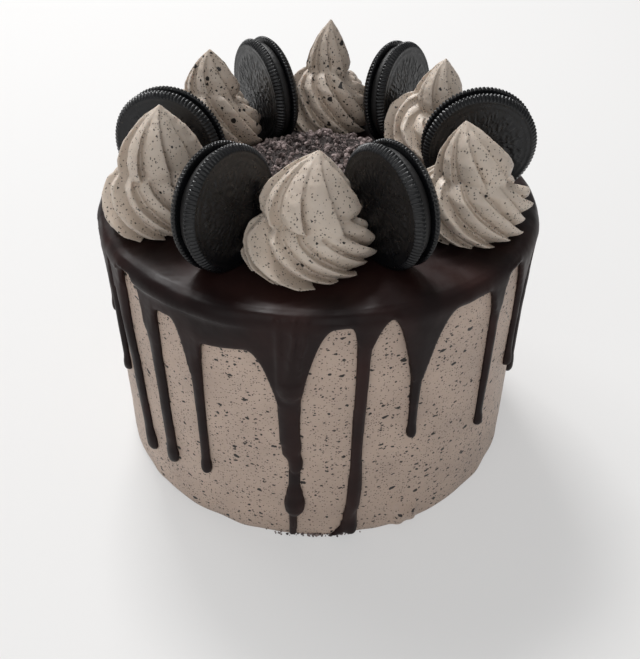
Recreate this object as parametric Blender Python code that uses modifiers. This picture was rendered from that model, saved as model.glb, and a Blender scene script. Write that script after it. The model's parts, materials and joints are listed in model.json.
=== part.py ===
"""A small tall layer cake, uncut, as solids in metres with +Z up.

A frosted drum carries a cap of chocolate ganache that runs down its side in drips. On the cap stand six
sandwich cookies on edge and six piped swirls in turn, round a low mound of cookie crumbs. The origin is the
centre of the flat base, and the camera side of the cake is -Y.
"""

import math

import bmesh
import bpy
import numpy as np
from mathutils import Matrix, Vector

# Driving dimensions, in metres and degrees.
MM = 0.001
CAKE_R = 83.0 * MM
CAKE_TOP = 107.4 * MM  # top face of the ganache
GAP = 0.3 * MM  # between neighbouring solids
GANACHE_TOP_THICK = 3.2 * MM
GANACHE_SIDE_THICK = 2.6 * MM
DRUM_TOP = CAKE_TOP - GANACHE_TOP_THICK - GAP
DRUM_EDGE_R = 2.5 * MM  # rounded edge between the drum's side and top
DRUM_SIDES = 64
WALL_R = CAKE_R + 0.45 * MM  # back of the ganache, clear of the drum's facets
RIM_DROP = 4.0 * MM  # how far below the top the ganache reaches its full radius

COOKIE_R = 21.6 * MM
COOKIE_FACE_R = 19.7 * MM
WAFER_THICK = 3.2 * MM
WAFER_WIDEST_AT = 0.8 * MM  # above the wafer's inner face
FILLING_R = 19.6 * MM
FILLING_THICK = 3.2 * MM
COOKIE_HALF = FILLING_THICK / 2 + GAP + WAFER_THICK
COOKIE_SIDES = 24

SWIRL_LOBES = 10
SWIRL_POINTS_PER_LOBE = 3
SWIRL_RIDGE = 0.11  # ridge height as a share of the local radius
SWIRL_TWIST = 150.0  # degrees that a ridge turns from the tip down to the base

MOUND_R = 31.5 * MM
MOUND_H = 9.5 * MM
MOUND_CENTRE = (0.0, 4.5 * MM)

# Sandwich cookies: distance from the axis, azimuth, heading of the face, lean back, height of the centre
# above the cake's top. Lengths in mm, angles in degrees.
COOKIES = {
    "front_left": (59.3, 238.8, -36.4, 5.9, 18.9),
    "front_right": (56.1, 294.7, -146.3, -0.9, 20.4),
    "right": (60.4, 1.4, -87.1, -3.1, 18.2),
    "back_right": (62.8, 57.8, -34.1, 6.6, 16.9),
    "back_left": (54.8, 114.6, -149.4, -1.9, 19.2),
    "left": (56.1, 178.8, -106.2, 3.3, 16.8),
}

# Swirls: centre x and y, base radius, height, tip's offset in x and y, turn of the first ridge.
SWIRLS = {
    "front": (-3.5, -51.5, 22.0, 40.0, 3.6, 0.5, 0.0),
    "right": (54.0, -27.5, 21.0, 40.0, -4.5, 0.0, 25.0),
    "back_right": (47.8, 31.0, 19.5, 40.5, 1.5, 0.0, 10.0),
    "back": (4.0, 58.5, 18.5, 46.5, 0.5, 0.0, 40.0),
    "back_left": (-43.5, 35.0, 18.5, 42.5, 0.5, -2.0, 5.0),
    "left": (-56.0, -25.0, 20.0, 44.0, 2.5, -1.0, 30.0),
}

# Swirl outline, from the base to the tip: share of the height, share of the base radius.
SWIRL_OUTLINE = (
    (0.00, 0.84),
    (0.07, 0.98),
    (0.20, 1.00),
    (0.33, 0.90),
    (0.44, 0.68),
    (0.50, 0.62),
    (0.56, 0.64),
    (0.70, 0.46),
    (0.84, 0.26),
    (0.95, 0.09),
)

# Drips, one row each: azimuth at the rim, azimuth at the tip, height of the tip, width of the stem, spread
# of its funnel to the left and to the right in degrees, height where the funnel ends in the stem, height and
# width of a bead on the stem (0: none), and the top of the arch between this drip and the next.
DRIPS = (
    (-154.5, -153.0, 46, 4.0, 2.0, 1.5, 88, 0, 0, 100),
    (-148.0, -142.3, 15, 6.6, 1.5, 1.5, 88, 30, 7.4, 101),
    (-133.8, -132.0, 19, 5.8, 3.0, 1.0, 82, 0, 0, 94),
    (-120.0, -119.7, 24, 4.4, 4.5, 1.2, 72, 0, 0, 91),
    (-96.5, -96.0, 1, 5.4, 9.0, 8.0, 67, 20, 8.2, 101),
    (-79.5, -81.8, 1, 4.8, 1.5, 2.0, 92, 26, 6.2, 102),
    (-66.0, -65.8, 47, 3.8, 5.0, 8.5, 74, 0, 0, 100),
    (-41.5, -41.5, 34, 4.0, 3.0, 2.0, 88, 0, 0, 102),
    (-27.0, -27.0, 50, 4.0, 4.0, 4.0, 86, 0, 0, 99),
    (-11.0, -12.0, 30, 5.2, 5.0, 4.0, 78, 0, 0, 97),
    (4.0, 4.0, 60, 4.0, 2.0, 2.5, 90, 0, 0, 101),
    (19.0, 18.0, 20, 5.6, 6.0, 4.0, 74, 0, 0, 96),
    (34.0, 34.5, 52, 4.2, 2.0, 3.0, 88, 0, 0, 100),
    (50.0, 49.0, 12, 6.0, 6.0, 7.0, 70, 38, 7.6, 95),
    (66.0, 66.0, 62, 4.0, 2.0, 2.0, 90, 0, 0, 101),
    (83.0, 84.0, 36, 5.0, 4.0, 5.0, 80, 0, 0, 98),
    (99.0, 99.0, 68, 4.0, 2.5, 2.0, 90, 0, 0, 101),
    (116.0, 115.0, 17, 6.0, 7.0, 5.0, 72, 0, 0, 95),
    (134.0, 134.5, 47, 4.4, 2.0, 3.5, 86, 0, 0, 100),
    (151.0, 151.0, 63, 4.0, 3.0, 2.0, 90, 0, 0, 99),
    (168.0, 167.0, 27, 5.4, 5.0, 5.0, 78, 0, 0, 98),
    (188.0, 188.5, 56, 4.4, 3.0, 3.0, 88, 0, 0, 101),
)
DRIP_THICK = 2.4 * MM
DRIP_BACK_R = WALL_R + 0.15 * MM
DRIP_START = 97.0  # height, in mm, where a drip's own solid begins inside the sheet


def material(name, colour, roughness):
    made = bpy.data.materials.new(name)
    made.use_nodes = True
    shader = made.node_tree.nodes["Principled BSDF"]
    shader.inputs["Base Color"].default_value = (*colour, 1.0)
    shader.inputs["Roughness"].default_value = roughness
    shader.inputs["Metallic"].default_value = 0.0
    return made


def add_object(name, mesh, collection, finish=None):
    made = bpy.data.objects.new(name, mesh)
    collection.objects.link(made)
    if finish:
        mesh.materials.append(finish)
        mesh.shade_smooth()
        mesh.set_sharp_from_angle(angle=math.radians(40))
    return made


def mesh_from_rings(name, rings, first=None, last=None):
    """A closed mesh through rings of points. A ring end is closed by one point, or by a flat face if none."""
    made = bmesh.new()
    rows = [[made.verts.new(point) for point in ring] for ring in rings]
    count = len(rows[0])
    for low, high in zip(rows, rows[1:]):
        for i in range(count):
            made.faces.new((low[i], low[(i + 1) % count], high[(i + 1) % count], high[i]))
    for row, point in ((rows[0][::-1], first), (rows[-1], last)):
        if point is None:
            made.faces.new(row)
            continue
        end = made.verts.new(point)
        for i in range(count):
            made.faces.new((row[i], row[(i + 1) % count], end))
    bmesh.ops.recalc_face_normals(made, faces=made.faces)
    mesh = bpy.data.meshes.new(name)
    made.to_mesh(mesh)
    made.free()
    return mesh


def on_circle(radius, degrees, z, centre=(0.0, 0.0)):
    angle = math.radians(degrees)
    return Vector((centre[0] + radius * math.cos(angle), centre[1] + radius * math.sin(angle), z))


def add_boolean(target, cutter, operation):
    modifier = target.modifiers.new(cutter.name, "BOOLEAN")
    modifier.operation = operation
    modifier.solver = "EXACT"
    modifier.object = cutter


def hide_helper(helper):
    helper.hide_render = True
    helper.display_type = "WIRE"


def frosted_cake(collection, finish):
    """The frosted drum, turned from its side profile, from the top of the axis down to the base."""
    profile = bmesh.new()
    points = [(0.0, DRUM_TOP)]
    for step in range(4):
        turn = math.radians(90 - 30 * step)
        points.append(
            (
                CAKE_R - DRUM_EDGE_R + DRUM_EDGE_R * math.cos(turn),
                DRUM_TOP - DRUM_EDGE_R + DRUM_EDGE_R * math.sin(turn),
            )
        )
    points += [(CAKE_R, 0.0), (0.0, 0.0)]
    verts = [profile.verts.new((x, 0.0, z)) for x, z in points]
    for a, b in zip(verts, verts[1:]):
        profile.edges.new((a, b))
    mesh = bpy.data.meshes.new("frosted_cake")
    profile.to_mesh(mesh)
    profile.free()
    drum = add_object("frosted_cake", mesh, collection, finish)
    screw = drum.modifiers.new("turn", "SCREW")
    screw.steps = screw.render_steps = DRUM_SIDES
    screw.use_merge_vertices = True
    screw.merge_threshold = 0.00005
    return drum


def half_width(drip):
    """Half of a drip's stem, in degrees of azimuth."""
    return math.degrees(drip[3] * MM / 2 / CAKE_R)


def rise_beside(away, spread):
    """Share of the drop from an arch to a funnel's foot that is left, this far beside the stem."""
    return (1 - min(max(away / spread, 0.0), 1.0)) ** 2


def arch_edge(degrees, drip, following):
    """Height of the sheet's lower edge between two neighbouring drips."""
    arch = drip[9]
    from_left = (degrees - drip[0]) % 360 - half_width(drip)
    from_right = (following[0] - degrees) % 360 - half_width(following)
    drop = (arch - drip[6]) * rise_beside(from_left, drip[5])
    drop += (arch - following[6]) * rise_beside(from_right, following[4])
    return (arch - drop) * MM


def sheet_columns():
    """Azimuth and lower edge of each column of the sheet: both sides of every stem, and of its funnels."""
    columns = []
    for drip, following in zip(DRIPS, DRIPS[1:] + DRIPS[:1]):
        start = drip[0] + half_width(drip)
        room = (following[0] - half_width(following) - start) % 360
        right, left = drip[5], following[4]
        squeeze = min(1.0, 0.9 * room / (right + left))
        offsets = (0.0, squeeze * right / 3, squeeze * right)
        offsets += (room - squeeze * left, room - squeeze * left / 3, room)
        for offset in offsets:
            inside = min(max(offset, 0.001), room - 0.001)
            columns.append((start + offset, arch_edge(start + inside, drip, following)))
    return columns


def ganache_sheet(name):
    """The cap and its skirt: a shell over the drum's top and upper side, with a lower edge in arches."""
    outer_r = WALL_R + GANACHE_SIDE_THICK
    under_top = CAKE_TOP - GANACHE_TOP_THICK
    sections = (
        lambda edge: (70 * MM, CAKE_TOP),
        lambda edge: (outer_r - 2.2 * MM, CAKE_TOP - 0.6 * MM),
        lambda edge: (outer_r, CAKE_TOP - RIM_DROP),
        lambda edge: (outer_r - 0.3 * MM, edge + 1.4 * MM),
        lambda edge: (WALL_R + 0.5 * MM, edge),
        lambda edge: (WALL_R, edge + 0.5 * MM),
        lambda edge: (WALL_R, under_top - DRUM_EDGE_R / 2),
        lambda edge: (WALL_R - DRUM_EDGE_R / 2, under_top),
    )
    rings = []
    for section in sections:
        ring = []
        for azimuth, edge in sheet_columns():
            radius, z = section(edge)
            ring.append(on_circle(radius, azimuth, z))
        rings.append(ring)
    return mesh_from_rings(name, rings, first=(0, 0, CAKE_TOP), last=(0, 0, under_top))


def drip_stations(drip):
    """Height, width and thickness share of a drip at each section, from inside the sheet to the tip."""
    tip_z, stem_w, funnel_z, bead_z, bead_w = drip[2], drip[3], drip[6], drip[7], drip[8]
    stations = [(DRIP_START, stem_w, 0.8), (funnel_z - 4, stem_w * 1.05, 1.0)]
    if bead_z:
        stations.append((bead_z + 1.5 * bead_w, stem_w, 0.9))
        stations.append((bead_z, bead_w, 1.3))
        stations.append((bead_z - 0.9 * bead_w, stem_w * 0.8, 0.9))
    else:
        stations.append((tip_z + 2.2 * stem_w, stem_w * 0.95, 1.0))
        stations.append((tip_z + 0.9 * stem_w, stem_w * 1.1, 1.25))
    stations.append((tip_z + 0.15 * stem_w, stem_w * 0.75, 0.8))
    stations.append((tip_z, stem_w * 0.35, 0.3))
    return stations


def drip_mesh(name, drip):
    """One run of ganache down the side: flat at the back, rounded in front, ending in a fuller tip."""
    rim_az, tip_az, tip_z = drip[:3]
    rings = []
    for z, width, thick in drip_stations(drip):
        share = (DRIP_START - z) / (DRIP_START - tip_z)
        azimuth = rim_az + (tip_az - rim_az) * share
        half = math.degrees(width * MM / 2 / CAKE_R)
        ring = []
        for across, out in ((-1.0, 0.0), (-0.62, 0.78), (0.0, 1.0), (0.62, 0.78), (1.0, 0.0)):
            radius = DRIP_BACK_R + out * thick * DRIP_THICK
            ring.append(on_circle(radius, azimuth + across * half, z * MM))
        rings.append(ring)
    return mesh_from_rings(name, rings)


def ganache(collection, helpers, finish):
    """The sheet with every drip joined on, as one solid."""
    sheet = add_object("ganache", ganache_sheet("ganache"), collection, finish)
    for index, drip in enumerate(DRIPS):
        run = add_object(f"drip_{index}", drip_mesh(f"drip_{index}", drip), helpers)
        hide_helper(run)
        add_boolean(sheet, run, "UNION")
    return sheet


def turned_mesh(name, outline, sides):
    """A disc-like solid round its own Z axis, from (radius, height) points that run bottom to top."""
    rings = [[on_circle(r, 360 * i / sides, z) for i in range(sides)] for r, z in outline]
    return mesh_from_rings(name, rings)


def wafer_mesh():
    """One wafer, with its inner face at z = 0: a bevelled rim that is widest near the filling."""
    outline = (
        (COOKIE_R - 0.5 * MM, 0.0),
        (COOKIE_R, WAFER_WIDEST_AT),
        (COOKIE_FACE_R, WAFER_THICK),
    )
    return turned_mesh("wafer", outline, COOKIE_SIDES)


def cookie_pose(distance, azimuth, heading, lean, rise):
    """Places a cookie: its axis points along the heading, tipped up by the lean, with one edge down."""
    flat = Vector((math.cos(math.radians(heading)), math.sin(math.radians(heading)), 0))
    side = flat.cross(Vector((0, 0, 1)))
    axis = flat * math.cos(math.radians(lean)) + Vector((0, 0, 1)) * math.sin(math.radians(lean))
    up = side.cross(axis)
    turn = Matrix((up, axis.cross(up), axis)).transposed().to_4x4()
    centre = on_circle(distance * MM, azimuth, CAKE_TOP + rise * MM)
    return Matrix.Translation(centre) @ turn


def cookie(name, placing, collection, helpers, wafer_finish, filling_finish):
    """Two wafers with a filling between them, on an empty that carries the cookie's place. Returns the
    cutter that makes room for the cookie in what it is pressed into."""
    centre = bpy.data.objects.new(f"cookie_{name}_centre", None)
    collection.objects.link(centre)
    centre.matrix_world = cookie_pose(*placing)
    inner_face = FILLING_THICK / 2 + GAP
    half_turn = Matrix.Rotation(math.pi, 4, "X")
    for letter, turn in (("a", Matrix.Identity(4)), ("b", half_turn)):
        wafer = add_object(f"cookie_{name}_wafer_{letter}", wafer_mesh(), collection, wafer_finish)
        wafer.parent = centre
        wafer.matrix_local = turn @ Matrix.Translation((0, 0, inner_face))
    disc = ((FILLING_R, -FILLING_THICK / 2), (FILLING_R, FILLING_THICK / 2))
    filling_disc = turned_mesh("filling", disc, COOKIE_SIDES)
    filling = add_object(f"cookie_{name}_filling", filling_disc, collection, filling_finish)
    filling.parent = centre
    room = ((COOKIE_R + GAP, -COOKIE_HALF - GAP), (COOKIE_R + GAP, COOKIE_HALF + GAP))
    cutter = add_object(f"room_{name}", turned_mesh("room", room, COOKIE_SIDES), helpers)
    cutter.matrix_world = cookie_pose(*placing)
    hide_helper(cutter)
    return cutter


def swirl(name, row, collection, finish):
    """A piped swirl: a twisted star section under a two-step outline, with its tip drawn a little aside."""
    x, y, radius, height, tip_x, tip_y, turn = row
    count = SWIRL_LOBES * SWIRL_POINTS_PER_LOBE
    base = CAKE_TOP + GAP
    rings = []
    for share, wide in SWIRL_OUTLINE:
        twist = turn - SWIRL_TWIST * share
        lean = share**2
        centre = ((x + tip_x * lean) * MM, (y + tip_y * lean) * MM)
        ring = []
        for i in range(count):
            degrees = 360 * i / count
            ridge = math.cos(math.radians(SWIRL_LOBES * degrees))
            local = radius * MM * wide * (1 + SWIRL_RIDGE * ridge)
            ring.append(on_circle(local, twist + degrees, base + share * height * MM, centre))
        rings.append(ring)
    tip = ((x + tip_x) * MM, (y + tip_y) * MM, base + height * MM)
    mesh = mesh_from_rings(f"swirl_{name}", rings, last=tip)
    return add_object(f"swirl_{name}", mesh, collection, finish)


def crumb_mound(collection, finish):
    """The heap of crumbs as one low mound with an uneven outline and surface."""
    noise = np.random.default_rng(5)
    sides = 22
    edge = noise.uniform(-1.2, 1.2, sides)
    rings = []
    for wide, rise in ((1.0, 0.0), (0.97, 0.22), (0.78, 0.55), (0.5, 0.85), (0.22, 1.0)):
        lumps = noise.uniform(-0.5, 0.5, sides) * (rise > 0)
        ring = []
        for i in range(sides):
            radius = MOUND_R * wide + edge[i] * wide * MM
            z = CAKE_TOP + GAP + rise * MOUND_H + lumps[i] * MM
            ring.append(on_circle(radius, 360 * i / sides, z, MOUND_CENTRE))
        rings.append(ring)
    return add_object("crumb_mound", mesh_from_rings("crumb_mound", rings), collection, finish)


def main():
    for old in list(bpy.data.objects):
        bpy.data.objects.remove(old)
    cake = bpy.data.collections.new("layer_cake")
    helpers = bpy.data.collections.new("helpers")
    for group in (cake, helpers):
        bpy.context.scene.collection.children.link(group)

    cream = material("cookies_and_cream", (0.50, 0.45, 0.41), 0.6)
    chocolate = material("ganache", (0.022, 0.012, 0.010), 0.3)
    wafer_finish = material("cocoa_wafer", (0.016, 0.015, 0.016), 0.55)
    filling_finish = material("cocoa_filling", (0.02, 0.018, 0.018), 0.6)
    crumb_finish = material("cookie_crumb", (0.03, 0.022, 0.02), 0.9)

    drum = frosted_cake(cake, cream)
    cap = ganache(cake, helpers, chocolate)
    crumb_mound(cake, crumb_finish)
    swirls = [swirl(name, row, cake, cream) for name, row in SWIRLS.items()]
    for name, placing in COOKIES.items():
        room = cookie(name, placing, cake, helpers, wafer_finish, filling_finish)
        for pressed in (drum, cap, *swirls):
            add_boolean(pressed, room, "DIFFERENCE")


main()
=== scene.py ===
# %% [markdown]
# # A cookies-and-cream drip cake
# The cake is a frosted drum with a cap of chocolate ganache, six piped swirls, six sandwich cookies
# on edge and a heap of crumbs. The solids of all of them come in as a fixed frame. Each lesson below
# makes one of them again with its fine surface, in the place where the frame holds it.

# %% Open the frame
import json
import math
import random

import bmesh
import bpy
import numpy as np
from mathutils import Matrix, Vector, noise

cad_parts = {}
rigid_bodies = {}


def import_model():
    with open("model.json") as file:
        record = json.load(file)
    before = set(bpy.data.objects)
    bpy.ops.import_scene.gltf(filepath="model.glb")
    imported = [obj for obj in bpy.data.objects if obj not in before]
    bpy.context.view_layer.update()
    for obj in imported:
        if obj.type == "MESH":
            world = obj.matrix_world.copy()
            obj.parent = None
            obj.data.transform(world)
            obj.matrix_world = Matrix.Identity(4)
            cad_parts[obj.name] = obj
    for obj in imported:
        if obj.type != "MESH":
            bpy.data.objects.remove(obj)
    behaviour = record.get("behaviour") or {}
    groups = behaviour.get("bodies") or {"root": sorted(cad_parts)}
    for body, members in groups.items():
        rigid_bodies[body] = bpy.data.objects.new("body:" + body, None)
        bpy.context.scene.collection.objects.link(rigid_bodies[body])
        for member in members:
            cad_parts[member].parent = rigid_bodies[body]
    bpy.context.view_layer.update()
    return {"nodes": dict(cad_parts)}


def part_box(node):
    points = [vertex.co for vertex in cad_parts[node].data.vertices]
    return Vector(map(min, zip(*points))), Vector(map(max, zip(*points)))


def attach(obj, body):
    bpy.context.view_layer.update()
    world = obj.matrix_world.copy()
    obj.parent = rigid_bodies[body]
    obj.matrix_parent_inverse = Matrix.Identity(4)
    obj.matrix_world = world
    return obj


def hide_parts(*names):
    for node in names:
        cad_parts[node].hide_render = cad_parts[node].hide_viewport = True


for leftover in list(bpy.data.objects):
    bpy.data.objects.remove(leftover)
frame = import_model()
MM = 0.001
cake_low, cake_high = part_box("frosted_cake")
ganache_low, ganache_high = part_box("ganache")
CAKE_R = (cake_high.x - cake_low.x) / 2
TOP_Z = ganache_high.z
print("cake radius", round(CAKE_R / MM, 1), "mm, top at", round(TOP_Z / MM, 1), "mm")

# %% [markdown]
# ## The camera
# A cake is best seen from a little above, so that the ring on top and the drips show at once. The
# camera stands 0.4 m away and looks 37 degrees down. It is built from three angles, in the order
# in which they are set on a tripod: turn the legs, tip the head, then level it.

# %% Set up the camera
CAMERA_BACK, CAMERA_UP = 0.2982, 0.2646
TIP_DOWN, ROLL, TURN = 37.27, 0.68, 0.24
LENS = 46.57

camera_data = bpy.data.cameras.new("camera")
camera_data.lens = LENS
camera_data.sensor_width = 36
camera = bpy.data.objects.new("camera", camera_data)
bpy.context.scene.collection.objects.link(camera)
bpy.context.scene.camera = camera
turn_head = Matrix.Rotation(math.radians(-TURN), 4, "Z")
tip_head = Matrix.Rotation(math.radians(90 - TIP_DOWN), 4, "X")
level_head = Matrix.Rotation(math.radians(ROLL), 4, "Z")
camera.matrix_world = Matrix.Translation((0, -CAMERA_BACK, CAMERA_UP)) @ turn_head @ tip_head @ level_head
print("camera at", [round(c, 3) for c in camera.location])

# %% [markdown]
# ## The studio
# Food looks best lit from behind by one wide window. The light grazes the cream, draws the ridges
# of the swirls and puts a bright line on every tooth of the cookies, while a pale floor fills the
# front. Here the window is one large area lamp behind and above, with a small bright pane in it, and
# a wide weak one stands at the front left. The world gives plain white light from all round.

# %% Light it
def soft_lamp(name, place, aim, size, power):
    lamp = bpy.data.lights.new(name, "AREA")
    lamp.shape = "RECTANGLE"
    lamp.size, lamp.size_y = size
    lamp.energy = power
    holder = bpy.data.objects.new(name, lamp)
    bpy.context.scene.collection.objects.link(holder)
    holder.location = place
    holder.rotation_euler = (Vector(aim) - Vector(place)).to_track_quat("-Z", "Y").to_euler()
    return holder


soft_lamp("window", (-0.75, 1.15, 1.75), (0, 0, 0.08), (1.5, 1.1), 22)
soft_lamp("bare_pane", (-0.35, 1.0, 1.6), (0, 0, 0.08), (0.5, 0.34), 20)
soft_lamp("front_fill", (-0.4, -2.4, 1.7), (0, 0, 0.06), (3.4, 2.0), 25)
SKY = 0.26
world = bpy.data.worlds.new("studio")
world.use_nodes = True
world.node_tree.nodes["Background"].inputs["Color"].default_value = (1, 1, 1, 1)
paths = world.node_tree.nodes.new("ShaderNodeLightPath")
backdrop = world.node_tree.nodes.new("ShaderNodeMapRange")
backdrop.inputs["To Min"].default_value = SKY
backdrop.inputs["To Max"].default_value = 0.87
world.node_tree.links.new(paths.outputs["Is Camera Ray"], backdrop.inputs["Value"])
world.node_tree.links.new(backdrop.outputs["Result"], world.node_tree.nodes["Background"].inputs["Strength"])
bpy.context.scene.world = world
bpy.context.scene.view_settings.view_transform = "Standard"
print("two soft lamps and a white world")

# %% [markdown]
# ## A small kit for materials
# Every finish here is a Principled shader with a few nodes in front of it. `Finish` keeps the node
# tree and the shader together, so that a recipe reads as a list of what is wired to what.

# %% Helpers for materials
class Finish:
    def __init__(self, name, colour, roughness):
        self.material = bpy.data.materials.new(name)
        self.material.use_nodes = True
        self.tree = self.material.node_tree
        self.shader = self.tree.nodes["Principled BSDF"]
        self.shader.inputs["Base Color"].default_value = (*colour, 1)
        self.shader.inputs["Roughness"].default_value = roughness
        self.place = self.add("ShaderNodeTexCoord").outputs["Object"]

    def add(self, kind, **settings):
        node = self.tree.nodes.new(kind)
        for setting, value in settings.items():
            setattr(node, setting, value)
        return node

    def wire(self, source, target):
        self.tree.links.new(source, target)

    def stretched(self, factors, shake=0.0, shake_scale=600.0):
        """Object coordinates stretched along each axis, shaken by noise so that shapes turn ragged."""
        place = self.place
        if shake:
            wobble = self.noise(place, shake_scale, 2.0, colour=True)
            centred = self.vector("SUBTRACT", wobble, (0.5, 0.5, 0.5))
            scaled = self.vector("MULTIPLY", centred, (shake, shake, shake))
            place = self.vector("ADD", place, scaled)
        return self.vector("MULTIPLY", place, factors)

    def vector(self, operation, first, second):
        node = self.add("ShaderNodeVectorMath", operation=operation)
        self.wire(first, node.inputs[0])
        if isinstance(second, tuple):
            node.inputs[1].default_value = second
        else:
            self.wire(second, node.inputs[1])
        return node.outputs["Vector"]

    def math(self, operation, first, second, third=None):
        node = self.add("ShaderNodeMath", operation=operation)
        for socket, value in zip(node.inputs, (first, second, third)):
            if isinstance(value, (int, float)):
                socket.default_value = value
            elif value is not None:
                self.wire(value, socket)
        return node.outputs["Value"]

    def noise(self, place, scale, detail=3.0, colour=False):
        node = self.add("ShaderNodeTexNoise")
        self.wire(place, node.inputs["Vector"])
        node.inputs["Scale"].default_value = scale
        node.inputs["Detail"].default_value = detail
        return node.outputs["Color" if colour else "Fac"]

    def between(self, value, low, high, to_low=0.0, to_high=1.0):
        node = self.add("ShaderNodeMapRange")
        self.wire(value, node.inputs["Value"])
        for socket, number in zip(("From Min", "From Max", "To Min", "To Max"), (low, high, to_low, to_high)):
            node.inputs[socket].default_value = number
        return node.outputs["Result"]

    def mix(self, share, first, second):
        node = self.add("ShaderNodeMix", data_type="RGBA")
        self.wire(share, node.inputs["Factor"])
        for socket, colour in ((node.inputs[6], first), (node.inputs[7], second)):
            if isinstance(colour, tuple):
                socket.default_value = (*colour, 1)
            else:
                self.wire(colour, socket)
        return node.outputs[2]

    def colour(self, source):
        self.wire(source, self.shader.inputs["Base Color"])

    def roughness(self, source):
        self.wire(source, self.shader.inputs["Roughness"])

    def bump(self, height, depth, strength=1.0):
        node = self.add("ShaderNodeBump")
        node.inputs["Distance"].default_value = depth
        node.inputs["Strength"].default_value = strength
        self.wire(height, node.inputs["Height"])
        self.wire(node.outputs["Normal"], self.shader.inputs["Normal"])


print("material kit ready")

# %% [markdown]
# ## A small kit for meshes
# Nearly every piece of a cake has a middle, so most meshes here are rings of points skinned with
# quads. Poured and piped pieces are then melted together with a voxel remesh, which turns crossing
# shells into one skin, and a few rounds of smoothing give them the fillets of a soft material.

# %% Helpers for meshes
def ring_mesh(name, rings, first=None, last=None):
    """A closed mesh through rings of points; `first` and `last` close its ends."""
    rings = np.asarray(rings, float)
    count, around = rings.shape[:2]
    points = [tuple(p) for p in rings.reshape(-1, 3)] + [tuple(first), tuple(last)]
    here = np.arange(around)
    there = (here + 1) % around
    faces = []
    for i in range(count - 1):
        quads = np.stack([i * around + here, i * around + there], 1)
        quads = np.hstack([quads, np.stack([(i + 1) * around + there, (i + 1) * around + here], 1)])
        faces += quads.tolist()
    start, end = len(points) - 2, len(points) - 1
    faces += [(start, int(b), int(a)) for a, b in zip(here, there)]
    base = (count - 1) * around
    faces += [(end, int(base + a), int(base + b)) for a, b in zip(here, there)]
    mesh = bpy.data.meshes.new(name)
    mesh.from_pydata(points, [], faces)
    shell = bmesh.new()
    shell.from_mesh(mesh)
    bmesh.ops.recalc_face_normals(shell, faces=shell.faces)
    shell.to_mesh(mesh)
    shell.free()
    return mesh


def new_piece(name, mesh, finish=None):
    piece = bpy.data.objects.new(name, mesh)
    bpy.context.scene.collection.objects.link(piece)
    mesh.shade_smooth()
    if finish:
        mesh.materials.append(finish.material)
    return piece


def melt(piece, voxel, rounds, keep=1.0):
    """Joins a piece's crossing shells into one skin, smooths it and makes the result its mesh."""
    remesh = piece.modifiers.new("melt", "REMESH")
    remesh.mode = "VOXEL"
    remesh.voxel_size = voxel
    remesh.use_smooth_shade = True
    soften = piece.modifiers.new("soften", "SMOOTH")
    soften.factor = 0.5
    soften.iterations = rounds
    if keep < 1:
        thin = piece.modifiers.new("thin", "DECIMATE")
        thin.ratio = keep
    graph = bpy.context.evaluated_depsgraph_get()
    mesh = bpy.data.meshes.new_from_object(piece.evaluated_get(graph))
    piece.modifiers.clear()
    finishes = list(piece.data.materials)
    piece.data = mesh
    mesh.materials.clear()
    for finish in finishes:
        mesh.materials.append(finish)
    mesh.shade_smooth()


def points_of(mesh):
    flat = np.empty(len(mesh.vertices) * 3, np.float32)
    mesh.vertices.foreach_get("co", flat)
    return flat.reshape(-1, 3).astype(float)


def set_points(mesh, points):
    mesh.vertices.foreach_set("co", points.astype(np.float32).ravel())
    mesh.update()


def wave(points, scale, seed=0.0):
    """Smooth noise from -1 to 1 at each point; `scale` is waves per metre, one number or three."""
    spots = np.asarray(points) * np.asarray(scale) + seed
    return np.array([noise.noise(Vector(spot)) for spot in spots])


def join_meshes(name, pieces):
    """One mesh from several lists of (points, faces)."""
    points, faces, count = [], [], 0
    for part_points, part_faces in pieces:
        points.append(part_points)
        faces.append(np.asarray(part_faces) + count)
        count += len(part_points)
    mesh = bpy.data.meshes.new(name)
    mesh.from_pydata(np.vstack(points).tolist(), [], [f for part in faces for f in part.tolist()])
    return mesh


def place_in_frame(piece, slot, *nodes):
    """The piece stands for these nodes and rides on the cake's one body; `slot` is not used."""
    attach(piece, "root")
    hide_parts(*nodes)
    print(piece.name, "has", len(piece.data.polygons), "faces")


print("mesh kit ready")

# %% [markdown]
# ## Cookies-and-cream buttercream
# The frosting is pale greige buttercream with crushed cookie stirred in. The crumbs range from dust to
# flakes two millimetres long, and the scraper drags the larger ones out sideways. Painting thousands
# of specks by hand is slow. A Voronoi texture scatters one point in each of its cells, so a speck is
# wherever the distance to that point is small, and the cell's random colour says how large it is.
# Three sizes of cell give dust, crumbs and flakes.

# %% The frosting's finish
SPECK = (0.016, 0.012, 0.0105)


def specks(finish, cell, widest, share, flatten, ragged):
    """A mask of ragged specks up to `widest` across; a `share` of the cells holds one."""
    place = finish.stretched((1.0, 1.0, flatten), ragged, 1.1 / widest)
    cells = finish.add("ShaderNodeTexVoronoi")
    finish.wire(place, cells.inputs["Vector"])
    cells.inputs["Scale"].default_value = 1 / cell
    chance = finish.add("ShaderNodeSeparateColor")
    finish.wire(cells.outputs["Color"], chance.inputs["Color"])
    size = finish.between(chance.outputs[0], 1 - share, 1.0, 0.0, widest / 2 / cell)
    edge = finish.math("SUBTRACT", size, cells.outputs["Distance"])
    return finish.between(edge, -0.01, 0.03)


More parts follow.
